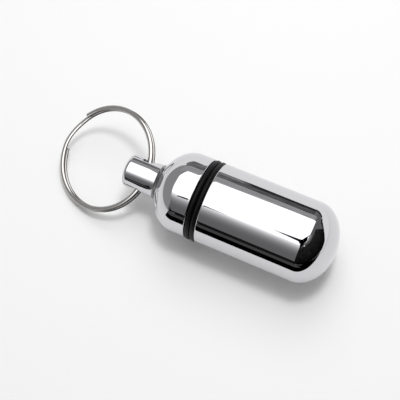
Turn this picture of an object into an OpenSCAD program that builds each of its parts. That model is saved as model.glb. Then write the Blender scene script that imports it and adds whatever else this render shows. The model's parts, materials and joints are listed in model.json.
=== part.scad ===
// Capsule key fob: a screw-top metal capsule with a split key ring, lying on its side.
// The capsule's axis runs along X, with the ring towards -X and the closed end of the barrel
// towards +X. The origin is on the surface that the fob lies on, under the middle of its outline.

/* [Shells] */
// Outer diameter of the cap and the barrel
body_d = 18; // [17.5:0.1:19]
// Wall of the cap and the barrel
wall = 0.7; // [0.5:0.05:0.8]
// Straight part of the cap, from its rim to its dome
cap_straight = 3.1; // [3:0.1:6]
// Height of the cap's dome
cap_dome = 7; // [6.8:0.1:8]
// Straight part of the barrel, from its mouth to its dome
barrel_straight = 21.7; // [16:0.1:40]
// Height of the barrel's dome
barrel_dome = 6.6; // [6.4:0.1:8]
// Rounding of the cap's rim and the barrel's mouth
rim_round = 0.25; // [0.1:0.05:0.35]

/* [Seals] */
// Thickness of one seal ring
seal_d = 1.18; // [1:0.02:1.3]
// Play beside each seal ring
seal_play = 0.02; // [0.01:0.01:0.04]

/* [Screw] */
// Diameter of the screw, taken halfway up its thread
screw_d = 14.7; // [14.4:0.1:14.8]
// Length of the screw beyond the seals
screw_len = 5; // [4:0.1:8]
// Rise of the thread in one turn
screw_pitch = 1; // [0.8:0.1:1.25]
// Bore of the hollow screw plug
plug_bore_d = 11.6; // [11:0.1:12]
// Thickness of the floor that closes the plug
plug_floor = 0.8; // [0.6:0.1:1]
// Length of the threaded collar in the barrel's mouth
collar_len = 6.6; // [6:0.1:10]

/* [Eye] */
// Diameter of the neck
neck_d = 7.4; // [7:0.1:8]
// Distance from the cap's rim to the end of the neck
neck_reach = 17.5; // [17.2:0.1:19]
// Rounding of the neck's end
neck_round = 0.95; // [0.6:0.05:1.4]
// Distance from the cap's rim to the cross hole
hole_reach = 13.9; // [13.8:0.05:14]
// Diameter of the cross hole
hole_d = 3.6; // [3.6:0.05:3.8]
// Radius that rolls the mouths of the cross hole over
mouth_r = 1.1; // [1:0.05:1.3]
// Radius of the flare at the neck's foot
flare_r = 6.5; // [5:0.1:8]
// Distance from the cap's rim to where the flare starts
flare_reach = 12.6; // [12.3:0.1:12.8]
// Diameter of the neck's foot on the dome
foot_d = 9.1; // [8.6:0.1:9.4]
// Diameter of the tail that goes through the dome
tail_d = 4.4; // [4:0.1:5]
// Diameter of the head that is staked over inside the dome
stake_d = 6; // [5.6:0.1:6.4]

/* [Key ring] */
// Outer diameter of the key ring
ring_d = 24; // [24:0.1:25]
// Width of its flattened wire, across the ring
wire_w = 1.1; // [1:0.05:1.15]
// Thickness of its flattened wire, along the ring's axis
wire_t = 0.6; // [0.5:0.02:0.7]
// Gap between the two turns
turn_gap = 0.42; // [0.41:0.01:0.5]
// Bevel on the edges of the wire
wire_bevel = 0.16; // [0.1:0.01:0.2]
// Angle round the ring, from the eye, of the wire's upper end
wire_end = 143; // [90:1:170]
// Arc without a second turn, in which the wire passes from one turn to the other
jog_sweep = 45; // [30:5:60]
// Steps in one turn of the wire
turn_steps = 72; // [36:36:72]

/* [Rest] */
// Turn of the cap about the capsule's axis, as it was screwed home
eye_roll = 30; // [20:0.5:35]
// Lean of the ring in its hole
ring_lean = 6.7; // [0:0.1:6.7]
// Distance of the wire from the middle of the hole, towards the cap
wire_offset = 0.95; // [0.85:0.05:0.95]

/* [Hidden] */
$fn = 96;

body_r = body_d / 2;
bore_r = body_r - wall;
neck_r = neck_d / 2;
hole_r = hole_d / 2;
plug_bore_r = plug_bore_d / 2;

// Play between pieces that are pressed together, and between pieces that turn in each other
press_play = 0.01;
turn_play = 0.05;
// How far a cut runs past a face
past = 1;
// Steps in the curve of a dome, and in the small circles of the outlines
dome_steps = 24;
bend_steps = 32;
round_steps = 48;

// The black band holds the two seals side by side between the cap's rim and the barrel's mouth
band_w = 2 * (seal_d + seal_play);
seal_mid_r = body_r - seal_d / 2;
land_r = body_r - seal_d - seal_play;
barrel_end = band_w + barrel_straight + barrel_dome;

// Shape of the screw plug and the collar, with the thread's depth and runout counted in pitches
floor_play = 0.2;
relief_depth = 0.45;
relief_run = 0.7;
skirt_r = bore_r - press_play;
skirt_len = cap_straight - floor_play;
screw_r = screw_d / 2 - turn_play / 2;
collar_bore_r = screw_d / 2 + turn_play / 2;
relief_r = screw_r - relief_depth * screw_pitch;
relief_len = relief_run * screw_pitch;
screw_chamfer = 0.4;
collar_chamfer = 0.35;
plug_corner = 0.8;

// The head that is staked over inside the dome, and how far the tail runs on into the neck
stake_reach = cap_straight + cap_dome - wall;
stake_t = 1.1;
tail_overlap = 0.4;

// How deep the rolled mouth of the cross hole sits in the neck, as a share of its radius
mouth_sink = 0.87;

// Half outline of a dome above its base line, a quarter of an ellipse
module dome_half(r, h) {
    polygon([[0, 0], for (i = [0:dome_steps]) let (a = 90 * i / dome_steps) [r * cos(a), h * sin(a)]]);
}

// Half outline of a domed tube that is filled in, from its mouth at y = 0
module tube_half(r, straight, h, below = 0) {
    translate([0, -below]) square([r, straight + below]);
    translate([0, straight]) dome_half(r, h);
}

// What is cut off to round the outer edge of a mouth at y = 0
module rim_cut(r, round) {
    difference() {
        translate([r - round, -past]) square([round + past, past + round]);
        translate([r - round, round]) circle(r = round, $fn = bend_steps);
    }
}

// Half section of a thin domed shell with an open mouth
module shell_half(straight, h) {
    difference() {
        tube_half(body_r, straight, h);
        tube_half(bore_r, straight, h - wall, past);
        rim_cut(body_r, rim_round);
    }
}

// Puts a piece that was made upright onto the capsule's axis, its top towards the closed end
module lie_forward(x = 0) {
    translate([x - middle_x, -middle_y, body_r]) rotate([0, 90, 0]) children();
}

// The same, with its top towards the key ring
module lie_back() {
    translate([-middle_x, -middle_y, body_r]) rotate([0, -90, 0]) children();
}

// Drawn cap, open at the band, with a hole in its dome for the neck's tail
module cap_shell() {
    color("gainsboro") lie_back() rotate_extrude() difference() {
        shell_half(cap_straight, cap_dome);
        square([tail_d / 2 + press_play, cap_straight + cap_dome + past]);
    }
}

// Half outline of the neck with its rounded end and its flared foot
module neck_half() {
    difference() {
        union() {
            translate([0, cap_straight]) square([foot_d / 2, flare_reach - cap_straight]);
            translate([0, cap_straight]) square([neck_r, neck_reach - neck_round - cap_straight]);
            square([neck_r - neck_round, neck_reach]);
            translate([neck_r - neck_round, neck_reach - neck_round])
                circle(r = neck_round, $fn = round_steps);
        }
        translate([neck_r + flare_r, flare_reach]) circle(r = flare_r);
        tube_half(body_r + press_play, cap_straight, cap_dome + press_play, past);
    }
}

// Half outline of one end of the cross hole, which opens out like a trumpet
module mouth_half() {
    mouth_start = neck_r - mouth_sink * mouth_r;
    square([hole_r, neck_r + past]);
    difference() {
        translate([0, mouth_start]) square([hole_r + mouth_r, mouth_r]);
        translate([hole_r + mouth_r, mouth_start]) circle(r = mouth_r, $fn = round_steps);
    }
}

// Cross hole through the neck, with both mouths rolled over
module cross_hole() {
    for (side = [0, 180]) rotate([side - 90, 0, 0]) rotate_extrude() mouth_half();
}

// Turned eye: the neck, its flared foot on the dome, and a tail that is staked over inside
module neck_eye() {
    color("gainsboro") lie_back() difference() {
        union() {
            rotate_extrude() neck_half();
            translate([0, 0, stake_reach - stake_t])
                cylinder(d = tail_d, h = stake_t + wall + tail_overlap);
            intersection() {
                translate([0, 0, stake_reach - stake_t]) cylinder(d = stake_d, h = stake_t);
                rotate_extrude()
                    tube_half(bore_r - press_play, cap_straight, cap_dome - wall - press_play);
            }
        }
        translate([0, 0, hole_reach]) rotate([0, 0, -eye_roll]) cross_hole();
    }
}

// Half section of the hollow screw plug: skirt in the cap, land for the seals, relief and screw
module plug_half() {
    tip = band_w + screw_len;
    shoulder = band_w - seal_play;
    floor_top = plug_floor - skirt_len;
    difference() {
        polygon([
            [0, -skirt_len], [skirt_r, -skirt_len], [skirt_r, 0], [land_r, 0],
            [land_r, shoulder], [relief_r, shoulder], [relief_r, shoulder + relief_len],
            [screw_r, shoulder + relief_len + screw_chamfer], [screw_r, tip - screw_chamfer],
            [screw_r - screw_chamfer, tip], [0, tip]
        ]);
        translate([0, floor_top]) square([plug_bore_r - plug_corner, plug_corner + past]);
        translate([plug_bore_r - plug_corner, floor_top + plug_corner])
            circle(r = plug_corner, $fn = bend_steps);
        translate([0, floor_top + plug_corner]) square([plug_bore_r, tip + skirt_len]);
    }
}

// Hollow screw plug, pressed into the cap
module threaded_plug() {
    color("lightgray") lie_forward() rotate_extrude() plug_half();
}

// One seal ring round the plug's land, with its middle at the distance x from the cap's rim
module seal(x) {
    color([0.06, 0.06, 0.06]) lie_forward(x) rotate_extrude()
        translate([seal_mid_r, 0]) circle(d = seal_d, $fn = round_steps);
}

// Seal ring against the cap's rim
module front_seal() {
    seal(band_w / 4);
}

// Seal ring against the barrel's mouth
module rear_seal() {
    seal(3 * band_w / 4);
}

// Drawn barrel with its domed, closed end
module barrel_shell() {
    color("gainsboro") lie_forward(band_w)
        rotate_extrude() shell_half(barrel_straight, barrel_dome);
}

// Threaded collar, pressed into the mouth of the barrel
module thread_collar() {
    color("lightgray") lie_forward(band_w) rotate_extrude() polygon([
        [collar_bore_r + collar_chamfer, 0], [skirt_r, 0], [skirt_r, collar_len],
        [collar_bore_r + collar_chamfer, collar_len], [collar_bore_r, collar_len - collar_chamfer],
        [collar_bore_r, collar_chamfer]
    ]);
}

// The key ring's wire. It starts at its upper end, goes once round as the upper turn, passes down
// to the lower turn over the jog, and goes round again. Angles start at the side in the eye.
wire_mid_r = (ring_d - wire_w) / 2;
turn_rise = wire_t + turn_gap;
wire_turns = 720 - jog_sweep;
wire_steps = round(turn_steps * wire_turns / 360);
end_margin = 3;

// Outline of the wire's section, as [across the ring, along its axis]
half_w = wire_w / 2;
half_t = wire_t / 2;
section = [
    [half_w, -half_t + wire_bevel], [half_w, half_t - wire_bevel],
    [half_w - wire_bevel, half_t], [-half_w + wire_bevel, half_t],
    [-half_w, half_t - wire_bevel], [-half_w, -half_t + wire_bevel],
    [-half_w + wire_bevel, -half_t], [half_w - wire_bevel, -half_t]
];
sides = len(section);

// Share of the way down from the upper turn to the lower one, after the angle a along the wire
jog_start = 360 - jog_sweep + end_margin;
jog_end = 360 - end_margin;
function eased(t) = t * t * (3 - 2 * t);
function way_down(a) = eased(min(1, max(0, (a - jog_start) / (jog_end - jog_start))));

// Points of the wire's surface in the ring's own frame, one list for each step along it
function wire_ring(step) =
    let (a = wire_turns * step / wire_steps,
         round_ring = wire_end - a,
         height = turn_rise * (0.5 - way_down(a)))
    [for (s = section)
        let (r = wire_mid_r + s.x)
        [r * cos(round_ring), r * sin(round_ring), height + s.y]];
wire_rings = [for (step = [0:wire_steps]) wire_ring(step)];

// Turns of a point about the X axis and the Y axis
function about_x(p, a) = [p.x, p.y * cos(a) - p.z * sin(a), p.y * sin(a) + p.z * cos(a)];
function about_y(p, a) = [p.x * cos(a) + p.z * sin(a), p.y, p.z * cos(a) - p.x * sin(a)];

// Puts a point of the ring into the hole: leaned, dropped, and rolled with the cap
ring_arm = wire_mid_r - wire_offset;
function hung(p, drop) =
    about_x(about_y(about_x(p - [ring_arm, 0, 0], -ring_lean), -drop), eye_roll)
        + [-hole_reach, 0, body_r];

// The drop at which the ring comes to lie on the same surface as the capsule, found by halving the
// range of drops that it can be in
ring_clearance = 0.02;
most_drop = 40;
halvings = 16;
function lowest(drop) = min([for (ring = wire_rings, p = ring) hung(p, drop).z]);
function settled(low, high, tries) =
    let (half = (low + high) / 2)
    tries == 0 ? half :
    lowest(half) > ring_clearance ? settled(half, high, tries - 1) : settled(low, half, tries - 1);
ring_drop = settled(0, most_drop, halvings);

ring_points = [for (ring = wire_rings, p = ring) hung(p, ring_drop)];
ring_x = [for (p = ring_points) p.x];
ring_y = [for (p = ring_points) p.y];
middle_x = (min(ring_x) + barrel_end) / 2;
middle_y = (min(min(ring_y), -body_r) + max(max(ring_y), body_r)) / 2;

// Least gap between the two turns, measured from the points of one to the points of the other
beside = 2;
turn_to_turn = min([
    for (i = [0:wire_steps - turn_steps])
    let (across = i + turn_steps)
    for (j = [across - beside:min(wire_steps, across + beside)], p = wire_rings[i], q = wire_rings[j])
    norm(p - q)
]);
echo(least_gap_between_turns = turn_to_turn, ring_drop = ring_drop, middle = [middle_x, middle_y]);

// Split key ring, one unbroken flattened wire with square-cut ends
module split_ring() {
    side_faces = [for (i = [0:wire_steps - 1], k = [0:sides - 1])
        let (a = i * sides + k, b = i * sides + (k + 1) % sides)
        each [[a, b, b + sides], [a, b + sides, a + sides]]];
    last = wire_steps * sides;
    start_face = [for (k = [1:sides - 2]) [0, k + 1, k]];
    end_face = [for (k = [1:sides - 2]) [last, last + k, last + k + 1]];
    color("silver") translate([-middle_x, -middle_y, 0])
        polyhedron(points = ring_points, faces = concat(side_faces, start_face, end_face));
}

cap_shell();
neck_eye();
threaded_plug();
front_seal();
rear_seal();
barrel_shell();
thread_collar();
split_ring();
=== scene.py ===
# %% [markdown]
# A screw-top capsule on a split key ring. It is a pill holder: a drawn metal cap and barrel,
# both plated with bright chromium, a screw plug that carries two black seal rings, a turned eye
# on the cap's dome, and a key ring of flattened spring wire. This notebook builds what the eye
# sees of it, piece by piece, round a fixed model that already holds the sizes and the joints.

# %% Load the fixed model
import bpy
import bmesh
import json
import math
from mathutils import Matrix, Vector


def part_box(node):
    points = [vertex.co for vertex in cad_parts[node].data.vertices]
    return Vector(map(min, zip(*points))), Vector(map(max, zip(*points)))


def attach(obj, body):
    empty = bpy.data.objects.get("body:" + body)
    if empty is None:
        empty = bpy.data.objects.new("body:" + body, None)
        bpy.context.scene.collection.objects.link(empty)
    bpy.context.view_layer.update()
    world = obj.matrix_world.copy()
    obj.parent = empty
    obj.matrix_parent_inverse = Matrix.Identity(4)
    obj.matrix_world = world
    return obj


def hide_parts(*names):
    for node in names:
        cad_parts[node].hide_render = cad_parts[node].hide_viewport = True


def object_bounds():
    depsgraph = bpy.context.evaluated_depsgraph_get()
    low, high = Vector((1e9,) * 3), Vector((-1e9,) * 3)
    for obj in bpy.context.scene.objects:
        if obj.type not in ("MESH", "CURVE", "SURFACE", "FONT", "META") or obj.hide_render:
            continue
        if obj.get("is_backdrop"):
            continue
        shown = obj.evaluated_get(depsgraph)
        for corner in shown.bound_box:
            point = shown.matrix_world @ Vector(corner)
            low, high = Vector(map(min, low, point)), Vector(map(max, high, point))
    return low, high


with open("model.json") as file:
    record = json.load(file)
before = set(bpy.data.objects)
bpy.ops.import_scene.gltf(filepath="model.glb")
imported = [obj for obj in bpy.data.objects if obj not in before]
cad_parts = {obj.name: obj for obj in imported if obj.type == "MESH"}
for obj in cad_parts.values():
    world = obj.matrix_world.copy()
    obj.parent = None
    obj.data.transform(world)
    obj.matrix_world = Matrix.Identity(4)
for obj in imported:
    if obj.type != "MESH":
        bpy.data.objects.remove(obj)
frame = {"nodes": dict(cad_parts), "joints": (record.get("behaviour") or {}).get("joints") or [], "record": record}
solid_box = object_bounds()
print("fixed model loaded, with the nodes", ", ".join(sorted(frame["nodes"])))

# %% [markdown]
# Sizes are easier to read in millimetres, and Blender counts in metres. The places that the
# pieces share come from the fixed model's joints: the middle of the cap's rim, where the cap turns,
# and the middle of the eye's hole, where the ring swings. Every outline below is measured along the
# capsule from that rim, towards the barrel's closed end.

# %% Units and shared places
MM = 0.001
joints = {joint["name"]: joint for joint in frame["joints"]}
rim_middle = Vector(joints["cap_turn"]["pos_m"])
eye_middle = Vector(joints["ring_swing"]["pos_m"])
eye_axis = Vector(joints["ring_swing"]["axis"])
key_ring = next(mount for mount in frame["record"]["mounts"] if mount["name"] == "key_ring")
ring_middle = Vector(key_ring["pos_m"])
ring_axis = Vector(key_ring["axis"])

barrel_low, barrel_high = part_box("barrel_shell")
body_r = (barrel_high.z - barrel_low.z) / 2 / MM
mouth_x = (barrel_low.x - rim_middle.x) / MM
barrel_tip_x = (barrel_high.x - rim_middle.x) / MM
neck_tip_x = (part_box("neck_eye")[0].x - rim_middle.x) / MM
print(f"capsule {2 * body_r:.1f} mm across, barrel from {mouth_x:.1f} to {barrel_tip_x:.1f} mm,"
      f" neck to {neck_tip_x:.1f} mm")

# %% [markdown]
# The camera stands where the photographer stood: high over the front right of the fob, a hand's
# length away, and tipped a few degrees to one side. Its lens is worked out from how many pixels
# one millimetre takes in a picture 400 pixels wide.

# %% Camera
camera_azimuth = math.radians(29.30)
camera_elevation = math.radians(63.95)
camera_tip = math.radians(-4.42)
camera_distance = 217.0 * MM
aim = rim_middle + Vector((-0.16, -0.30, 0)) * MM
picture_width = 400
pixels_per_mm = 4.70
sensor_width = 36.0

backward = Vector((
    math.sin(camera_azimuth) * math.cos(camera_elevation),
    -math.cos(camera_azimuth) * math.cos(camera_elevation),
    math.sin(camera_elevation),
))
level = Vector((math.cos(camera_azimuth), math.sin(camera_azimuth), 0))
upright = backward.cross(level)
to_right = level * math.cos(camera_tip) + upright * math.sin(camera_tip)
to_top = upright * math.cos(camera_tip) - level * math.sin(camera_tip)

bpy.ops.object.camera_add(location=aim + backward * camera_distance)
camera = bpy.context.object
camera.name = "camera"
turned_to = Matrix((to_right, to_top, backward)).transposed().to_4x4()
camera.matrix_world = Matrix.Translation(aim + backward * camera_distance) @ turned_to
camera.data.sensor_width = sensor_width
camera.data.lens = sensor_width * pixels_per_mm * camera_distance / MM / picture_width
camera.data.clip_start = 1 * MM
camera.data.clip_end = 20
bpy.context.scene.camera = camera
bpy.context.scene.view_settings.view_transform = "Standard"
print(f"camera with a {camera.data.lens:.1f} mm lens, {camera_distance / MM:.0f} mm away")

# %% [markdown]
# Materials are made of nodes. One small function adds a node with its settings and links, and
# another turns the colours, which are written as a painter's sRGB hex values, into the linear
# light that the renderer counts in. Three more make what nearly every finish here needs: a cloudy
# pattern, a mix of two colours, and a bump.

# %% Helpers for materials
def linear(code):
    """The linear colour of an sRGB hex value."""
    channels = [int(code[i:i + 2], 16) / 255 for i in (1, 3, 5)]
    return [c / 12.92 if c <= 0.04045 else ((c + 0.055) / 1.055) ** 2.4 for c in channels] + [1.0]


def add(tree, kind, sockets=(), **settings):
    """Adds a node. A socket in sockets gets a fixed value or the output that feeds it."""
    node = tree.nodes.new(kind)
    for name, value in settings.items():
        setattr(node, name, value)
    for name, value in dict(sockets).items():
        if isinstance(value, bpy.types.NodeSocket):
            tree.links.new(value, node.inputs[name])
        else:
            node.inputs[name].default_value = value
    return node


def new_material(name):
    """An empty material and its node tree."""
    material = bpy.data.materials.new(name)
    material.use_nodes = True
    material.node_tree.nodes.clear()
    return material, material.node_tree


noise_reach = {"From Min": 0.3, "From Max": 0.7}


def noise(tree, place, size, detail):
    """A cloudy pattern. Its clouds are about that size, and most of its values lie in noise_reach."""
    clouds = add(tree, "ShaderNodeTexNoise", {"Vector": place, "Scale": 1 / size, "Detail": detail})
    return clouds.outputs[0]


def mixed(tree, share, first, second):
    """A colour between two, each of them fixed or the output of a node."""
    mix = add(tree, "ShaderNodeMix", {"Factor": share, 6: first, 7: second}, data_type="RGBA")
    return mix.outputs[2]


def bumped(tree, height, depth, strength=1.0):
    """The normal of a surface that stands out by depth where height is 1."""
    bump = add(tree, "ShaderNodeBump", {"Height": height, "Distance": depth, "Strength": strength})
    return bump.outputs[0]


print("helpers for materials ready")

# %% [markdown]
# The fob lies on a sheet of white card. The card takes the shadow, so its white comes from the
# lamps, and a little glow that only the camera, mirrors and glass see lifts it to clean white. The
# glow grows towards the card's edge, where the lamps' light falls off, so that the card runs into
# the white room round it with no line between. The room is bright for the same rays and dim for the
# lighting, so that it fills the shadow only a little.

# %% Floor and white room
floor_size = 1.1
floor_drop = 0.02 * MM
floor_glow = 0.05
glow_start = 0.15
edge_glow = 0.5
room_fill = 0.34

bpy.ops.mesh.primitive_plane_add(size=floor_size, location=(0, 0, -floor_drop))
floor = bpy.context.object
floor.name = "white_card"


def seen_rays(tree):
    """1 for the rays of the camera, of mirrors and of glass, and 0 for all others."""
    path = add(tree, "ShaderNodeLightPath")
    mirrors = add(tree, "ShaderNodeMath", {
        0: path.outputs["Is Camera Ray"], 1: path.outputs["Is Glossy Ray"]}, operation="ADD")
    glass = add(tree, "ShaderNodeMath", {
        0: mirrors.outputs[0], 1: path.outputs["Is Transmission Ray"]}, operation="ADD", use_clamp=True)
    return glass.outputs[0]


card_material, tree = new_material("matt_white_card")
matt = add(tree, "ShaderNodeBsdfDiffuse", {"Color": linear("#F2F2F2")})
spot = add(tree, "ShaderNodeTexCoord")
from_fob = add(tree, "ShaderNodeVectorMath", {0: spot.outputs["Object"]}, operation="LENGTH")
glow_there = add(tree, "ShaderNodeMapRange", {
    "Value": from_fob.outputs["Value"], "From Min": glow_start, "From Max": floor_size / 2,
    "To Min": floor_glow, "To Max": edge_glow})
glow_level = add(tree, "ShaderNodeMath", {
    0: seen_rays(tree), 1: glow_there.outputs[0]}, operation="MULTIPLY")
glow = add(tree, "ShaderNodeEmission", {"Color": linear("#FFFFFF"), "Strength": glow_level.outputs[0]})
both = add(tree, "ShaderNodeAddShader", {0: matt.outputs[0], 1: glow.outputs[0]})
add(tree, "ShaderNodeOutputMaterial", {"Surface": both.outputs[0]})
floor.data.materials.append(card_material)
floor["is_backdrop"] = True

room = bpy.data.worlds.new("white_room")
bpy.context.scene.world = room
room.use_nodes = True
tree = room.node_tree
tree.nodes.clear()
room_level = add(tree, "ShaderNodeMapRange", {"Value": seen_rays(tree), "To Min": room_fill, "To Max": 1.0})
walls = add(tree, "ShaderNodeBackground", {"Color": linear("#FFFFFF"), "Strength": room_level.outputs[0]})
add(tree, "ShaderNodeOutputWorld", {"Surface": walls.outputs[0]})
print(f"white card at z = {-floor_drop / MM:.2f} mm in a white room")

# %% [markdown]
# Two lamps hang over the fob. The broad one gives the capsule its wide, soft shadow, and the small
# one draws the narrow shadow of the ring. Mirrors don't see either, because the studio's softbox, made
# below, is what they show.

# %% Lamps
def soft_lamp(name, middle, width, depth, power):
    """A rectangular lamp that is aimed at the fob."""
    place = Vector(middle) * MM
    bpy.ops.object.light_add(type="AREA", location=place)
    lamp = bpy.context.object
    lamp.name = name
    lamp.rotation_euler = place.to_track_quat("Z", "Y").to_euler()
    lamp.data.shape = "RECTANGLE"
    lamp.data.size = width * MM
    lamp.data.size_y = depth * MM
    lamp.data.energy = power
    lamp.visible_glossy = False
    print(f"{name} {width} x {depth} mm, {place.length / MM:.0f} mm away")


soft_lamp("broad_lamp", (-50, 155, 400), 290, 500, 1.0)
soft_lamp("small_lamp", (32, 52, 400), 75, 75, 0.47)

# %% [markdown]
# Chrome has no look of its own: it shows the studio. A photographer who shoots chrome puts a big
# white softbox overhead, with black and grey cards round it, and each shows as a clean stripe along
# the metal. The cards here are planes that only mirror rays meet, so they draw stripes in the
# chrome and neither light the scene nor stand in another view. Each is written as its corners, in
# millimetres from the middle of the cap's rim. Some are cloth that hangs in folds, which show in
# the metal as fine streaks across a stripe.

# %% Softbox and cards
fold_width = 7 * MM
fold_length = 45 * MM


def studio_card(name, corners, level, other_level=None, fade=(0, 0, 1), curve=1, folds=0):
    """A flat card, as bright as level, or fading to other_level along the direction fade.

    With a curve above 1 the light stays low at first and rises late. Folds makes streaks that
    are brighter and darker than the rest by that share.
    """
    bpy.ops.object.select_all(action="DESELECT")
    bpy.ops.mesh.primitive_plane_add(size=1)
    card = bpy.context.object
    card.name = name
    bpy.ops.object.mode_set(mode="EDIT")
    bpy.ops.mesh.delete(type="VERT")
    mesh = bmesh.from_edit_mesh(card.data)
    for corner in corners:
        mesh.verts.new(rim_middle + Vector(corner) * MM)
    bmesh.update_edit_mesh(card.data)
    bpy.ops.mesh.select_all(action="SELECT")
    bpy.ops.mesh.edge_face_add()
    bpy.ops.object.mode_set(mode="OBJECT")
    material, tree = new_material(name)
    along = Vector(fade).normalized()
    reach = [(rim_middle + Vector(c) * MM).dot(along) for c in corners]
    place = add(tree, "ShaderNodeTexCoord")
    way = add(tree, "ShaderNodeVectorMath", {
        0: place.outputs["Object"], 1: along}, operation="DOT_PRODUCT")
    share = add(tree, "ShaderNodeMapRange", {
        "Value": way.outputs["Value"], "From Min": min(reach), "From Max": max(reach)})
    late = add(tree, "ShaderNodeMath", {0: share.outputs[0], 1: curve}, operation="POWER")
    rise = 0 if other_level is None else other_level - level
    bright = add(tree, "ShaderNodeMath", {
        0: late.outputs[0], 1: rise, 2: level}, operation="MULTIPLY_ADD")
    squeeze = add(tree, "ShaderNodeMapping", {
        "Vector": place.outputs["Object"], "Scale": (1 / fold_width, 1 / fold_length, 1 / fold_length)})
    swing = add(tree, "ShaderNodeMapRange", {
        "Value": noise(tree, squeeze.outputs[0], 1, 2.0), **noise_reach,
        "To Min": 1 - folds, "To Max": 1 + folds})
    streaked = add(tree, "ShaderNodeMath", {
        0: bright.outputs[0], 1: swing.outputs[0]}, operation="MULTIPLY")
    shade = add(tree, "ShaderNodeEmission", {"Strength": streaked.outputs[0]})
    add(tree, "ShaderNodeOutputMaterial", {"Surface": shade.outputs[0]})
    material.cycles.emission_sampling = "NONE"
    card.data.materials.append(material)
    card.visible_camera = False
    card.visible_diffuse = False
    card.visible_transmission = False
    card.visible_volume_scatter = False
    card.visible_shadow = False
    card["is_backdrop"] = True


def flat_card(name, height, corners, *levels, **more):
    """A card that lies level. Its corners are places in the floor plan."""
    studio_card(name, [(x, y, height) for x, y in corners], *levels, **more)


def sky_card(name, probe_x, distance, edges, *levels, **more):
    """A curved card, drawn on the sky round a point of the capsule's axis.

    Each edge is an azimuth and the card's lower and upper ends there, as angles from straight up.
    """
    def place(azimuth, angle):
        out = distance * math.sin(math.radians(angle))
        return (probe_x + out * math.cos(math.radians(azimuth)), out * math.sin(math.radians(azimuth)),
                distance * math.cos(math.radians(angle)))

    for number, (here, there) in enumerate(zip(edges, edges[1:])):
        corners = [place(here[0], here[1]), place(there[0], there[1]),
                   place(there[0], there[2]), place(here[0], here[2])]
        studio_card(f"{name}_{number}", corners, *levels, **more)


softbox_height = 300
along_capsule = (1, 0, 0)
wall_folds = 0.35
ceiling_folds = 0.2

# Overhead hangs the softbox, and round it shows the studio's ceiling.
flat_card("softbox", softbox_height, [
    (128, 258), (-30, 258), (-88, 208), (-230, 101), (-256, 0), (-300, -110), (-320, -218), (128, -218)],
    1.8)
flat_card("ceiling", 315, [(-380, 230), (60, 230), (60, 480), (-380, 480)], 0.40, folds=ceiling_folds)
flat_card("ceiling_end", 315, [(60, 230), (260, 230), (200, 480), (60, 480)],
          0.40, 0.12, fade=along_capsule, folds=ceiling_folds)
flat_card("grey_ceiling", 312, [(20, -390), (100, -460), (230, -200), (230, 60), (190, 240), (20, 240)],
          0.14)

# Behind the fob, cloth in several greys makes the stripes along the top of the barrel.
sky_card("far_flag_start", 0, 520, [(124, 70, 58), (113, 73, 58), (103.4, 76, 58)],
         0.20, folds=wall_folds)
sky_card("far_flag_edge", 0, 525, [(103.4, 75, 67.5), (100.2, 75.6, 67.5)], 0.26, folds=wall_folds)
sky_card("far_flag_bend", 0, 525, [(100.2, 75.6, 67.5), (99.3, 76.8, 67.5)],
         0.26, 0.03, fade=along_capsule, folds=wall_folds)
sky_card("far_flag_end", 0, 525, [(99.3, 76.8, 67.5), (90, 78, 71), (76, 75, 69), (62, 71, 66)],
         0.03, folds=wall_folds)
sky_card("far_flag_middle", 0, 562, [(122, 69, 62), (90, 76, 62), (62, 69, 60)],
         0.15, 0.06, fade=along_capsule, folds=wall_folds)
sky_card("far_flag", 0, 565, [(122, 68, 58), (90, 76, 54), (62, 70, 53)],
         0.20, 0.09, fade=along_capsule, folds=wall_folds)

# To the right, black cloth draws the crescent in the barrel's dome.
sky_card("right_flag_edge", 27, 440, [(62, 68, 62), (51, 65, 58), (40, 67.5, 60)], 0.03)
sky_card("right_flag_top", 27, 455, [
    (75, 66, 30), (62, 66, 20), (51, 63, 20), (40, 66, 20), (33, 69, 20)], 0.15, folds=0.6)
sky_card("right_flag", 27, 450, [
    (40, 67, 46), (29, 72, 33), (20, 79, 20), (13, 86, 20), (0, 91, 20),
    (-20, 91, 20), (-45, 91, 20), (-70, 91, 20), (-94, 91, 20), (-118, 91, 20)],
    0.0, 0.03, folds=1)

# To the left, a grey wall frames the softbox in the cap's dome.
sky_card("left_wall", -8, 620, [
    (102, 61, 30), (129, 64, 30), (136, 69, 30), (149, 78, 30), (160, 86, 30), (170, 91, 30),
    (200, 91, 30), (220, 91, 40), (239, 91, 45)], 0.33)
sky_card("wall_end", -8, 650, [(236, 91, 50), (258, 91, 50)], 0.16)

# In front, a sweep darkens from the softbox down to black paper on the table, past the camera.
studio_card("front_fade", [
    (-110, -322, 40), (4, -322, 40), (4, -218, softbox_height), (-320, -218, softbox_height)],
    0.16, 1.45, curve=4)
flat_card("dark_paper", -8.8, [(-22, -33), (400, -33), (400, -400), (-205, -400)], 0.0)
flat_card("paper_fold", -8.7, [(-45, -78), (60, -78), (60, -400), (-200, -400)], 0.07)
studio_card("low_flag", [(-96, -400, -9), (30, -400, -9), (30, -400, 46), (-96, -400, 46)], 0.01)
studio_card("low_flag_start", [
    (-205, -400, -9), (-96, -400, -9), (-96, -400, 46), (-205, -400, 46)], 0.10)
flat_card("camera_body", 205, [
    (-13, -96), (-5, -88), (25, -62), (80, -35), (106, 4), (93, -70), (68, -125), (42, -178), (5, -168),
    (-2, -112)], 0.0)
flat_card("window_gap", 204, [(106, 4), (124, -4), (119, -70), (98, -76)], 0.42)
flat_card("gap_tail", 204, [(98, -76), (119, -70), (88, -130), (56, -190), (42, -178), (68, -125)], 0.10)
print("softbox and cards hung")
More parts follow.
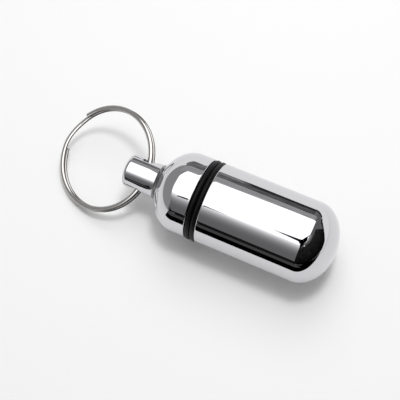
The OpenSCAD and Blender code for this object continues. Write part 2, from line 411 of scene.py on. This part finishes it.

# %% [markdown]
# The shells and the eye are brass, drawn or turned, polished, and plated with nickel and bright
# chromium. Chromium gives back some two thirds of the light, a little cold, as sharply as
# a mirror. What makes it real are the faults: drawing leaves slow waves along the tube, which make
# straight stripes tremble, and buffing leaves a faint haze that comes and goes. In the corner at the
# eye's foot, which the buffing wheel can't reach, the plate is a little rougher and speckled, and its
# colour is painted much darker there, as painted shade in that corner.

# %% Chrome plate
def chrome_plate(name, shaded_corner_x=None):
    """Bright chromium plate. With a corner x, the plate beyond that x is rougher, speckled and painted dark, as
    painted shade in the corner.
    """
    material, tree = new_material(name)
    wave_length = 9.0 * MM
    wave_width = 3.5 * MM
    wave_depth = 0.003 * MM
    haze_size = 2.0 * MM
    corner_blend = 0.08 * MM
    speck_size = 0.3 * MM
    place = add(tree, "ShaderNodeTexCoord")
    stretch = add(tree, "ShaderNodeMapping", {
        "Vector": place.outputs["Object"], "Scale": (1 / wave_length, 1 / wave_width, 1 / wave_width)})
    waves = noise(tree, stretch.outputs[0], 1, 1.5)
    haze = noise(tree, place.outputs["Object"], haze_size, 3.0)
    rough = add(tree, "ShaderNodeMapRange", {
        "Value": haze, **noise_reach, "To Min": 0.015, "To Max": 0.05})
    surface = add(tree, "ShaderNodeBsdfPrincipled", {
        "Base Color": linear("#D1D1D4"), "Metallic": 1.0,
        "Roughness": rough.outputs[0], "Normal": bumped(tree, waves, wave_depth)})
    if shaded_corner_x is not None:
        along = add(tree, "ShaderNodeSeparateXYZ", {0: place.outputs["Object"]})
        in_corner = add(tree, "ShaderNodeMapRange", {
            "Value": along.outputs[0],
            "From Min": shaded_corner_x - corner_blend, "From Max": shaded_corner_x + corner_blend})
        specks = noise(tree, place.outputs["Object"], speck_size, 3.0)
        # Painted shade: beyond the corner x the metal's colour is painted dark, in specks from #2C2C2C to #A0A0A0,
        # as shade in the corner at the eye's foot.
        dull_and_shaded = add(tree, "ShaderNodeBsdfPrincipled", {
            "Base Color": mixed(tree, specks, linear("#2C2C2C"), linear("#A0A0A0")),
            "Metallic": 1.0, "Roughness": 0.22})
        surface = add(tree, "ShaderNodeMixShader", {
            0: in_corner.outputs[0], 1: surface.outputs[0], 2: dull_and_shaded.outputs[0]})
    add(tree, "ShaderNodeOutputMaterial", {"Surface": surface.outputs[0]})
    return material


# The eye's plate is painted dark beyond this x, as painted shade in the corner at its foot.
eye_shaded_corner_x = rim_middle.x - 10.05 * MM
chrome = chrome_plate("bright_chrome_plate")
eye_chrome = chrome_plate("chrome_plate_of_the_eye_with_painted_corner_shade", eye_shaded_corner_x)
print("made", chrome.name, "and", eye_chrome.name)

# %% [markdown]
# The screw plug and the collar are turned brass with a satin nickel plate, a little warmer than
# chromium. The tool's rings round the work blur what they reflect along the axis.

# %% Satin nickel plate
def nickel_plate():
    """Satin nickel plate on turned brass."""
    material, tree = new_material("satin_nickel_plate")
    tool_step = 0.12 * MM
    tool_depth = 0.0015 * MM
    wave_at_scale_one = 0.314
    stain_size = 1.5 * MM
    place = add(tree, "ShaderNodeTexCoord")
    rings = add(tree, "ShaderNodeTexWave", {
        "Vector": place.outputs["Object"], "Scale": wave_at_scale_one / tool_step, "Distortion": 0.6,
        "Detail": 1.0, "Detail Scale": 2.0}, wave_type="BANDS", bands_direction="X")
    stain = noise(tree, place.outputs["Object"], stain_size, 4.0)
    metal = add(tree, "ShaderNodeBsdfPrincipled", {
        "Base Color": mixed(tree, stain, linear("#C8C1B4"), linear("#D6D2CA")), "Metallic": 1.0,
        "Roughness": 0.24, "Normal": bumped(tree, rings.outputs[0], tool_depth)})
    add(tree, "ShaderNodeOutputMaterial", {"Surface": metal.outputs[0]})
    return material


nickel = nickel_plate()
print("made", nickel.name)

# %% [markdown]
# The seal rings are black nitrile rubber, moulded and then wiped with grease. They are nearly
# black, with a soft grey shine along the top of each lobe, a fine grain, and a slightly paler bloom.

# %% Nitrile rubber
def nitrile_rubber():
    """Black nitrile rubber, moulded smooth."""
    material, tree = new_material("black_nitrile_rubber")
    grain_size = 0.35 * MM
    grain_depth = 0.012 * MM
    bloom_size = 3.0 * MM
    place = add(tree, "ShaderNodeTexCoord")
    grain = noise(tree, place.outputs["Object"], grain_size, 3.0)
    bloom = noise(tree, place.outputs["Object"], bloom_size, 3.0)
    rubber = add(tree, "ShaderNodeBsdfPrincipled", {
        "Base Color": mixed(tree, bloom, linear("#030304"), linear("#08080A")), "Roughness": 0.5,
        "IOR": 1.3, "Normal": bumped(tree, grain, grain_depth, strength=0.6)})
    add(tree, "ShaderNodeOutputMaterial", {"Surface": rubber.outputs[0]})
    return material


nitrile = nitrile_rubber()
print("made", nitrile.name)

# %% [markdown]
# The key ring is spring steel wire, drawn, rolled flat, wound and nickel plated. Drawing leaves
# fine lines that run along the wire, so the pattern is laid in the ring's own plane: it changes
# with the distance from the ring's middle and with the height, and not round the ring. The flat
# faces have a light colour, paler in worn patches and darker in bands that run along the wire. The
# wire's inner and outer edges are painted dark, as painted shade.

# %% Spring steel
def spring_steel():
    """Bright drawn spring steel, whose lines run round the ring."""
    material, tree = new_material("drawn_spring_steel")
    line_width = 0.16 * MM
    line_depth = 0.003 * MM
    band_width = 0.45 * MM
    wear_size = 2.5 * MM
    to_ring = ring_axis.to_track_quat("Z", "Y").to_matrix().to_4x4()
    place = add(tree, "ShaderNodeTexCoord")
    centred = add(tree, "ShaderNodeMapping", {
        "Vector": place.outputs["Object"], "Location": ring_middle, "Rotation": to_ring.to_euler()},
        vector_type="TEXTURE")
    parts = add(tree, "ShaderNodeSeparateXYZ", {0: centred.outputs[0]})
    across = add(tree, "ShaderNodeCombineXYZ", {0: parts.outputs[0], 1: parts.outputs[1]})
    outward = add(tree, "ShaderNodeVectorMath", {0: across.outputs[0]}, operation="LENGTH")
    section = add(tree, "ShaderNodeCombineXYZ", {0: outward.outputs["Value"], 1: parts.outputs[2]})
    lines = noise(tree, section.outputs[0], line_width, 2.0)
    wear = noise(tree, place.outputs["Object"], wear_size, 4.0)
    face_tint = mixed(tree, wear, linear("#D0CDCB"), linear("#E2E0DE"))
    # Painted shade: where the surface faces across the ring's axis, on the wire's inner and outer edges, the
    # colour is painted dark; the flat faces keep the light colour.
    facing = add(tree, "ShaderNodeVectorMath", {
        0: place.outputs["Normal"], 1: ring_axis}, operation="DOT_PRODUCT")
    flatness = add(tree, "ShaderNodeMath", {0: facing.outputs["Value"]}, operation="ABSOLUTE")
    unshaded_face = add(tree, "ShaderNodeMapRange", {
        "Value": flatness.outputs[0], "From Min": 0.55, "From Max": 0.88})
    bands = add(tree, "ShaderNodeMapRange", {
        "Value": noise(tree, section.outputs[0], band_width, 1.0),
        "From Min": 0.32, "From Max": 0.50, "To Min": 0.4, "To Max": 1.0})
    bright = add(tree, "ShaderNodeMath", {
        0: unshaded_face.outputs[0], 1: bands.outputs[0]}, operation="MULTIPLY")
    # Painted shade: #5C5856 is the dark colour painted on the wire's edges.
    metal = add(tree, "ShaderNodeBsdfPrincipled", {
        "Base Color": mixed(tree, bright.outputs[0], linear("#5C5856"), face_tint), "Metallic": 1.0,
        "Roughness": 0.10, "Normal": bumped(tree, lines, line_depth)})
    add(tree, "ShaderNodeOutputMaterial", {"Surface": metal.outputs[0]})
    return material


steel = spring_steel()
print("made", steel.name)

# %% [markdown]
# Nearly every piece here was made on a lathe or spun from a disc, so it is modelled as a turner
# would: its half outline is drawn as a chain of points, extruded one after another from a single
# point, and spun once round the capsule's axis. Points are given as (along, out) in millimetres. Where
# the outline starts or ends on the axis, the spin leaves a heap of points there, which are merged.
# Edges that turn by more than 35 degrees stay sharp, and all others are shaded smooth.

# %% Helpers for turned pieces
turn_steps = 192
weld = 0.5e-6
sharp_edge = 35


def arc(middle, radii, start, end, steps):
    """Points of an arc of a circle or an ellipse, with angles counted from 'along' towards 'out'."""
    angles = [math.radians(start + (end - start) * i / steps) for i in range(steps + 1)]
    return [(middle[0] + radii[0] * math.cos(a), middle[1] + radii[1] * math.sin(a)) for a in angles]


def even(start, end, step):
    """Points of a straight line, spaced evenly, without its two ends."""
    length = math.dist(start, end)
    count = max(1, round(length / step))
    return [(start[0] + (end[0] - start[0]) * i / count, start[1] + (end[1] - start[1]) * i / count)
            for i in range(1, count)]


def turned(name, outline, closed=False):
    """Spins an outline about the capsule's axis and leaves the piece in its place."""
    bpy.ops.object.select_all(action="DESELECT")
    bpy.ops.mesh.primitive_plane_add(size=MM)
    piece = bpy.context.object
    piece.name = name
    bpy.ops.object.mode_set(mode="EDIT")
    bpy.ops.mesh.merge(type="CENTER")
    points = [Vector((along, 0, out)) * MM for along, out in outline]
    bpy.ops.transform.translate(value=points[0])
    for here, there in zip(points, points[1:]):
        bpy.ops.mesh.extrude_region_move(TRANSFORM_OT_translate={"value": there - here})
    bpy.ops.mesh.select_all(action="SELECT")
    if closed:
        mesh = bmesh.from_edit_mesh(piece.data)
        for vertex in mesh.verts:
            vertex.select = len(vertex.link_edges) == 1
        mesh.select_flush_mode()
        bpy.ops.mesh.edge_face_add()
        bpy.ops.mesh.select_all(action="SELECT")
    bpy.ops.mesh.spin(steps=turn_steps, angle=math.tau, center=(0, 0, 0), axis=(1, 0, 0))
    bpy.ops.mesh.select_all(action="SELECT")
    bpy.ops.mesh.remove_doubles(threshold=weld)
    bpy.ops.mesh.normals_make_consistent(inside=False)
    bpy.ops.transform.translate(value=rim_middle)
    bpy.ops.object.mode_set(mode="OBJECT")
    return piece


def finished(piece, material, node, body, crease=sharp_edge):
    """Smooths a piece up to its creases, gives it its finish, and puts it on its body."""
    bpy.ops.object.select_all(action="DESELECT")
    piece.select_set(True)
    bpy.context.view_layer.objects.active = piece
    bpy.ops.object.shade_smooth_by_angle(angle=math.radians(crease))
    piece.data.materials.clear()
    piece.data.materials.append(material)
    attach(piece, body)
    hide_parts(node)
    sizes = [f"{side / MM:.1f}" for side in piece.dimensions]
    print(f"{piece.name}: {len(piece.data.polygons)} faces, {' x '.join(sizes)} mm")


print(f"turned pieces get {turn_steps} steps round")

# %% [markdown]
# The barrel is a deep-drawn tube with a domed end. Its dome is a quarter of an ellipse, a little
# flatter than a ball, and its wall is the same all over. The mouth's outer edge is rounded, which is
# the thin bright line beside the black band. Rings every half millimetre along the straight part
# keep the smoothing exact where the dome starts, because a mirror shows every fault of its mesh.

# %% Barrel shell
wall = 0.7
barrel_dome = 6.6
cap_dome = 7.0
rim_round = 0.25
dome_steps = 72
round_steps = 8
ring_step = 0.5

bore_r = body_r - wall
barrel_dome_x = barrel_tip_x - barrel_dome


def shell_wall(start_x, dome_x, radius):
    """The straight part of a shell's wall, from its mouth to its dome, without its ends."""
    return even((start_x, radius), (dome_x, radius), ring_step)


barrel_outline = (
    arc((barrel_dome_x, 0), (barrel_dome, body_r), 0, 90, dome_steps)
    + shell_wall(barrel_dome_x, mouth_x + rim_round, body_r)
    + arc((mouth_x + rim_round, body_r - rim_round), (rim_round, rim_round), 90, 180, round_steps)
    + [(mouth_x, bore_r)]
    + shell_wall(mouth_x, barrel_dome_x, bore_r)
    + arc((barrel_dome_x, 0), (barrel_dome - wall, bore_r), 90, 0, dome_steps)
)
barrel = turned("barrel_shell_drawn", barrel_outline)
finished(barrel, chrome, "barrel_shell", "barrel")

# %% [markdown]
# The cap is drawn the same way, only shorter. Its dome has a hole in the middle, which the eye's
# tail goes through, so the outline is a closed loop that never meets the axis.

# %% Cap shell
cap_dome_x = -3.1
tail_r = 2.2
press_play = 0.01


def dome_angle(out, radius):
    """The angle at which a dome of that radius is as far out from the axis as out."""
    return math.degrees(math.asin(out / radius))


tail_hole_r = tail_r + press_play
cap_outline = (
    arc((cap_dome_x, 0), (-cap_dome, body_r), dome_angle(tail_hole_r, body_r), 90, dome_steps)
    + shell_wall(cap_dome_x, -rim_round, body_r)
    + arc((-rim_round, body_r - rim_round), (rim_round, rim_round), 90, 0, round_steps)
    + [(0, bore_r)]
    + shell_wall(0, cap_dome_x, bore_r)
    + arc((cap_dome_x, 0), (wall - cap_dome, bore_r), 90, dome_angle(tail_hole_r, bore_r), dome_steps)
)
cap = turned("cap_shell_drawn", cap_outline, closed=True)
finished(cap, chrome, "cap_shell", "cap")

# %% [markdown]
# The eye is turned from bar: a round-ended neck that flares slowly towards its foot and then turns
# out in a tight corner to sit on the dome, and a tail that goes through the cap and is staked over
# inside. It is turned first, as one outline.

# %% Eye, turned blank
neck_r = 3.7
neck_round = 0.95
flare_r = 20.0
flare_x = -12.25
flare_slope = math.radians(6)
fillet_r = 1.2
foot_r = 4.55
stake_r = 3.0
stake_x = -8.3
neck_ring_step = 0.14

fillet_middle = (
    flare_x + (flare_r - fillet_r) * math.sin(flare_slope),
    neck_r + flare_r - (flare_r - fillet_r) * math.cos(flare_slope))
fillet_end = math.degrees(math.asin((fillet_middle[1] - foot_r) / fillet_r))
flare_end = 90 - math.degrees(flare_slope)
neck_outline = (
    [(neck_tip_x, 0)]
    + even((neck_tip_x, 0), (neck_tip_x, neck_r - neck_round), neck_ring_step)
    + arc((neck_tip_x + neck_round, neck_r - neck_round), (-neck_round, neck_round), 0, 90, 2 * round_steps)
    + even((neck_tip_x + neck_round, neck_r), (flare_x, neck_r), neck_ring_step)
    + arc((flare_x, neck_r + flare_r), (flare_r, -flare_r), 90, flare_end, 2 * round_steps)
    + arc(fillet_middle, (fillet_r, -fillet_r), flare_end, fillet_end, 3 * round_steps)[1:]
    + arc((cap_dome_x, 0), (-cap_dome - press_play, body_r + press_play),
          dome_angle(foot_r, body_r), dome_angle(tail_r, body_r), round_steps)
    + arc((cap_dome_x, 0), (wall - cap_dome + press_play, bore_r - press_play),
          dome_angle(tail_r, bore_r), dome_angle(stake_r, bore_r), round_steps)
    + [(stake_x, stake_r), (stake_x, 0)]
)
eye = turned("neck_eye_turned", neck_outline)
print(f"blank of the eye: {len(eye.data.polygons)} faces")

# %% [markdown]
# The hole across the neck opens out like a trumpet at both ends, and its lip is rolled over, so that
# the split ring slides in it. A boolean cut would leave slivers that spoil a mirror, so the mouth is
# grown from the neck's own mesh: a window of faces is deleted, its edge is extruded inwards ring by
# ring, and each ring is laid on the lower of two surfaces, the neck and the trumpet, blended
# where they meet. Last, the two innermost rings are bridged through the neck.

# %% Eye, cross hole
hole_x = (eye_middle.x - rim_middle.x) / MM
hole_r = 1.8
mouth_r = 1.1
mouth_depth = 0.87 * mouth_r
lip_blend = 0.22
window_reach = 2.75
window_angle = math.radians(45.5)
mouth_rings = 24
hole_rings = 6


def neck_out(along):
    """Distance of the neck's surface from the axis, as far as its slow flare goes."""
    from_end = neck_tip_x + neck_round - along
    if from_end > 0:
        return neck_r - neck_round + math.sqrt(max(0, neck_round ** 2 - from_end ** 2))
    if along < flare_x:
        return neck_r
    return neck_r + flare_r - math.sqrt(flare_r ** 2 - (along - flare_x) ** 2)


def mouth_height(along, side):
    """Height of the neck with its mouth above the axis, where side is measured across the neck."""
    from_hole = math.hypot(along - hole_x, side)
    neck = math.sqrt(max(0, neck_out(along) ** 2 - side ** 2))
    inside = min(mouth_r, max(0, hole_r + mouth_r - from_hole))
    trumpet = neck_r - mouth_depth + math.sqrt(mouth_r ** 2 - inside ** 2)
    blend = lip_blend * min(1, max(0, (window_reach - from_hole) / (window_reach - hole_r - mouth_r / 2)))
    overlap = max(0, blend - abs(neck - trumpet))
    return min(neck, trumpet) - (overlap ** 2 / (4 * blend) if blend > 0 else 0)


def local(vertex):
    """A vertex's place in millimetres from the middle of the cap's rim."""
    return (vertex.co - rim_middle) / MM


def in_window(face):
    """Whether a face of the neck lies where a mouth opens."""
    middle = (face.calc_center_median() - rim_middle) / MM
    far_out = math.hypot(middle.y, middle.z) > neck_r - neck_round
    return (abs(middle.x - hole_x) < window_reach and far_out
            and abs(math.atan2(middle.z, abs(middle.y))) < window_angle)


def pull_in(vertex, share, side):
    """Moves a vertex towards the hole, to that share of its distance, and lays it on the mouth."""
    place = local(vertex)
    offset = Vector((place.x - hole_x, place.z))
    offset = offset.normalized() * (hole_r + (offset.length - hole_r) * share)
    height = mouth_height(hole_x + offset.x, offset.y)
    vertex.co = rim_middle + Vector((hole_x + offset.x, side * height, offset.y)) * MM


bpy.ops.object.mode_set(mode="EDIT")
bpy.ops.mesh.select_mode(type="FACE")
bpy.ops.mesh.select_all(action="DESELECT")
mesh = bmesh.from_edit_mesh(eye.data)
for face in mesh.faces:
    face.select = in_window(face)
bpy.ops.mesh.delete(type="FACE")
bpy.ops.mesh.select_mode(type="EDGE")
spacing = [(1 - ring / mouth_rings) ** 2 for ring in range(mouth_rings + 1)]
for side in (1, -1):
    bpy.ops.mesh.select_all(action="DESELECT")
    mesh = bmesh.from_edit_mesh(eye.data)
    for edge in mesh.edges:
        edge.select = edge.is_boundary and all(side * local(v).y > 0 for v in edge.verts)
    for before, after in zip(spacing, spacing[1:]):
        bpy.ops.mesh.extrude_region_move()
        mesh = bmesh.from_edit_mesh(eye.data)
        for vertex in [v for v in mesh.verts if v.select]:
            pull_in(vertex, after / before, side)
bpy.ops.mesh.select_all(action="DESELECT")
mesh = bmesh.from_edit_mesh(eye.data)
for edge in mesh.edges:
    edge.select = edge.is_boundary
bpy.ops.mesh.bridge_edge_loops(number_cuts=hole_rings)
bpy.ops.mesh.select_mode(type="VERT")
bpy.ops.mesh.select_all(action="SELECT")
bpy.ops.mesh.normals_make_consistent(inside=False)
print(f"mouths of the cross hole: {mouth_rings} rings each")

# %% [markdown]
# Screwed home, the cap has come to rest with the hole across its eye rolled away from level. The
# ring's joint says how far. Turning in edit mode keeps the object's own place and turn at zero.

# %% Eye, rolled into place
eye_roll = math.atan2(eye_axis.z, eye_axis.y)


def turn_selected(angle, axis, centre):
    """Turns what is selected by the right-hand rule. With no window the operator turns the other way."""
    bpy.ops.transform.rotate(value=-angle, orient_axis=axis, center_override=centre)


turn_selected(eye_roll, "X", rim_middle)
bpy.ops.object.mode_set(mode="OBJECT")
finished(eye, eye_chrome, "neck_eye", "cap")

# %% [markdown]
# The black band is two moulded rings side by side, squeezed between the cap and the barrel. Each is a
# torus whose two flanks are pressed flat.

# %% Seal rings
seal_d = 1.18
seal_press = 0.01
seal_segments = 40
seal_pitch = mouth_x / 2


def seal_ring(name, middle_x, node):
    """One seal ring round the capsule's axis."""
    bpy.ops.object.select_all(action="DESELECT")
    bpy.ops.mesh.primitive_torus_add(
        major_radius=(body_r - seal_d / 2) * MM, minor_radius=seal_d / 2 * MM,
        major_segments=turn_steps, minor_segments=seal_segments, rotation=(0, math.pi / 2, 0))
    seal = bpy.context.object
    seal.name = name
    bpy.ops.object.transform_apply(location=True, rotation=True, scale=True)
    bpy.ops.object.mode_set(mode="EDIT")
    flank = (seal_d / 2 - seal_press) * MM
    for side in (1, -1):
        bpy.ops.mesh.select_all(action="DESELECT")
        mesh = bmesh.from_edit_mesh(seal.data)
        for vertex in mesh.verts:
            vertex.select = side * vertex.co.x > flank
        bpy.ops.transform.resize(value=(0, 1, 1), center_override=(side * flank, 0, 0))
    bpy.ops.mesh.select_all(action="SELECT")
    bpy.ops.transform.translate(value=rim_middle + Vector((middle_x * MM, 0, 0)))
    bpy.ops.object.mode_set(mode="OBJECT")
    finished(seal, nitrile, node, "seals", crease=60)


seal_ring("front_seal_moulded", seal_pitch / 2, "front_seal")
seal_ring("rear_seal_moulded", seal_pitch * 3 / 2, "rear_seal")

# %% [markdown]
# The screw is only seen when the capsule is open, and then it is what everyone looks at. It is a
# right-handed thread that rises 1 mm in a turn. The blank is turned with many fine rings, and every
# point of its skin is then set to the lower of the blank and the thread, as a cutting tool
# would leave it, so that the thread runs out over the chamfers by itself. The thread's form is a
# steep wave with its tops and bottoms cut off, so its flanks slope and its crests are flat.

# %% Helpers for threads
thread_pitch = 1.0
thread_depth = 0.45
thread_mid_r = 7.35
thread_play = 0.05
thread_steepness = 1.7
thread_ring_step = 0.05


def thread_height(along, around):
    """The thread's height above its middle, from a wave that moves on by one pitch in a turn."""
    wave = math.cos(math.tau * (along / thread_pitch - around / math.tau))
    return thread_depth / 2 * max(-1, min(1, thread_steepness * wave))


def cut_thread(piece, first, last, middle_r, male):
    """Moves the skin of a blank between two places along the axis, to cut a thread in it."""
    bpy.ops.object.mode_set(mode="EDIT")
    mesh = bmesh.from_edit_mesh(piece.data)
    cut = 0
    for vertex in mesh.verts:
        place = local(vertex)
        out = math.hypot(place.y, place.z)
        near_skin = abs(out - middle_r) < thread_depth
        if not (first < place.x < last and near_skin):
            continue
        thread_r = middle_r + thread_height(place.x, math.atan2(place.z, place.y))
        new_out = min(out, thread_r) if male else max(out, thread_r)
        vertex.co = rim_middle + Vector((place.x, place.y * new_out / out, place.z * new_out / out)) * MM
        cut += 1
    bmesh.update_edit_mesh(piece.data)
    bpy.ops.object.mode_set(mode="OBJECT")
    print(f"{piece.name}: thread cut at {cut} points")


print(f"threads rise {thread_pitch} mm in a turn")

# %% [markdown]
# The screw plug is hollow, so that the space inside the cap is of use too. Its skirt is pressed
# into the cap, then comes the land that carries the two seals, a short relief, and the screw.

# %% Screw plug
plug_low, plug_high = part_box("threaded_plug")
skirt_x = (plug_low.x - rim_middle.x) / MM
plug_tip_x = (plug_high.x - rim_middle.x) / MM
skirt_r = (plug_high.z - plug_low.z) / 2 / MM
seal_play = 0.02
land_r = body_r - seal_d - seal_play
land_end_x = mouth_x - seal_play
relief_w = 0.7
relief_end_x = land_end_x + relief_w
relief_r = 6.87
plug_bore_r = 5.8
plug_floor = 0.8
plug_corner = 0.8
plug_edge = 0.15
plug_edge_steps = 4
floor_ring_step = 2.0

male_r = thread_mid_r - thread_play / 2
male_crest_r = male_r + thread_depth / 2
screw_start_x = relief_end_x + male_crest_r - relief_r
screw_end_x = plug_tip_x - male_crest_r + relief_r
bore_end_x = skirt_x + plug_floor + plug_corner
plug_outline = (
    [(skirt_x, 0)]
    + even((skirt_x, 0), (skirt_x, skirt_r - plug_edge), floor_ring_step)
    + arc((skirt_x + plug_edge, skirt_r - plug_edge), (-plug_edge, plug_edge), 0, 90, plug_edge_steps)
    + [(0, skirt_r), (0, land_r), (land_end_x, land_r), (land_end_x, relief_r), (relief_end_x, relief_r)]
    + even((relief_end_x, relief_r), (screw_start_x, male_crest_r), thread_ring_step)
    + [(screw_start_x, male_crest_r)]
    + even((screw_start_x, male_crest_r), (screw_end_x, male_crest_r), thread_ring_step)
    + [(screw_end_x, male_crest_r)]
    + even((screw_end_x, male_crest_r), (plug_tip_x, relief_r), thread_ring_step)
    + [(plug_tip_x, relief_r), (plug_tip_x, plug_bore_r + plug_edge)]
    + arc((plug_tip_x - plug_edge, plug_bore_r + plug_edge), (plug_edge, -plug_edge),
          0, 90, plug_edge_steps)
    + even((plug_tip_x - plug_edge, plug_bore_r), (bore_end_x, plug_bore_r), ring_step)
    + arc((bore_end_x, plug_bore_r - plug_corner), (-plug_corner, plug_corner), 90, 0, round_steps)
    + [(skirt_x + plug_floor, 0)]
)
plug = turned("screw_plug_turned", plug_outline)
cut_thread(plug, relief_end_x, plug_tip_x, male_r, male=True)
finished(plug, nickel, "threaded_plug", "cap")

# %% [markdown]
# The collar inside the barrel's mouth carries the same thread, cut into its bore and 0.05 mm wider, so
# the two run free as the cap turns and lifts.

# %% Threaded collar
collar_low, collar_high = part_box("thread_collar")
collar_end_x = (collar_high.x - rim_middle.x) / MM
collar_r = (collar_high.z - collar_low.z) / 2 / MM
female_r = thread_mid_r + thread_play / 2
female_crest_r = female_r - thread_depth / 2
chamfer = thread_depth + thread_play
lead_r = female_crest_r + chamfer
lead_end_x = collar_end_x - chamfer
lead_start_x = mouth_x + chamfer

collar_outline = (
    [(mouth_x, collar_r)]
    + even((mouth_x, collar_r), (collar_end_x, collar_r), ring_step)
    + [(collar_end_x, collar_r), (collar_end_x, lead_r)]
    + even((collar_end_x, lead_r), (lead_end_x, female_crest_r), thread_ring_step)
    + [(lead_end_x, female_crest_r)]
    + even((lead_end_x, female_crest_r), (lead_start_x, female_crest_r), thread_ring_step)
    + [(lead_start_x, female_crest_r)]
    + even((lead_start_x, female_crest_r), (mouth_x, lead_r), thread_ring_step)
    + [(mouth_x, lead_r)]
)
collar = turned("thread_collar_turned", collar_outline, closed=True)
cut_thread(collar, mouth_x, collar_end_x, female_r, male=False)
finished(collar, nickel, "thread_collar", "barrel")

# %% [markdown]
# The key ring is one wire, wound almost twice round. It starts at its upper end, makes the upper turn,
# steps down to the lower turn in the stretch where there is no second turn beside it, and goes round
# again. Rolling crowns the wire's faces and rounds its edges, so its section is a circle that is
# squared a little and pressed to the wire's width and thickness. It is swept in the ring's own plane:
# the section is extruded a few degrees at a time, turned about the ring's middle, and lowered while it
# passes from one turn to the other.

# %% Split ring, wound flat
ring_r = 12.0
wire_w = 1.1
wire_t = 0.6
turn_gap = 0.42
squareness = 2.1
section_points = 36
wire_end = 143
jog_sweep = 45
jog_margin = 3
wind_step = 3

wire_mid_r = ring_r - wire_w / 2
turn_rise = wire_t + turn_gap
wire_turn = 720 - jog_sweep
jog_start = 360 - jog_sweep + jog_margin
jog_end = 360 - jog_margin


def way_down(wound):
    """Share of the way from the upper turn to the lower one, after that many degrees of wire."""
    share = min(1, max(0, (wound - jog_start) / (jog_end - jog_start)))
    return share * share * (3 - 2 * share)


bpy.ops.object.select_all(action="DESELECT")
bpy.ops.mesh.primitive_circle_add(vertices=section_points, radius=1, fill_type="NGON")
ring = bpy.context.object
ring.name = "split_ring_wound"
bpy.ops.object.mode_set(mode="EDIT")
mesh = bmesh.from_edit_mesh(ring.data)
for vertex in mesh.verts:
    vertex.co.x = math.copysign(abs(vertex.co.x) ** (2 / squareness), vertex.co.x)
    vertex.co.y = math.copysign(abs(vertex.co.y) ** (2 / squareness), vertex.co.y)
bpy.ops.mesh.select_all(action="SELECT")
bpy.ops.transform.resize(value=(wire_w / 2 * MM, wire_t / 2 * MM, 1))
turn_selected(math.radians(90), "X", (0, 0, 0))
bpy.ops.transform.translate(value=(wire_mid_r * MM, 0, turn_rise / 2 * MM))
turn_selected(math.radians(wire_end), "Z", (0, 0, 0))
for wound in range(0, wire_turn, wind_step):
    bpy.ops.mesh.extrude_region_move()
    turn_selected(-math.radians(wind_step), "Z", (0, 0, 0))
    drop = turn_rise * (way_down(wound + wind_step) - way_down(wound))
    bpy.ops.transform.translate(value=(0, 0, -drop * MM))
bpy.ops.mesh.select_all(action="SELECT")
bpy.ops.mesh.normals_make_consistent(inside=False)
bpy.ops.object.mode_set(mode="OBJECT")
print(f"ring wound through {wire_turn} degrees of wire")

# %% [markdown]
# The ring is then leaned into the eye. Its middle and its axis come from the fixed model, and its
# side at zero degrees faces the middle of the eye's hole.

# %% Split ring, hung in the eye
to_eye = eye_middle - ring_middle
to_eye = (to_eye - ring_axis * to_eye.dot(ring_axis)).normalized()
across = ring_axis.cross(to_eye)
leaned = Matrix((to_eye, across, ring_axis)).transposed().to_4x4()
ring.matrix_world = Matrix.Translation(ring_middle) @ leaned
bpy.ops.object.select_all(action="DESELECT")
ring.select_set(True)
bpy.context.view_layer.objects.active = ring
bpy.ops.object.transform_apply(location=True, rotation=True, scale=True)
finished(ring, steel, "split_ring", "ring")

# %% [markdown]
# Last, the box of the fixed model and the box of what is shown are printed side by side.

# %% Sizes and the end
shown_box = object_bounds()
boxes = {"solid": [list(corner) for corner in solid_box], "shown": [list(corner) for corner in shown_box]}
for name, corners in boxes.items():
    low, high = [[round(side / MM, 2) for side in corner] for corner in corners]
    print(name, "box from", low, "to", high)
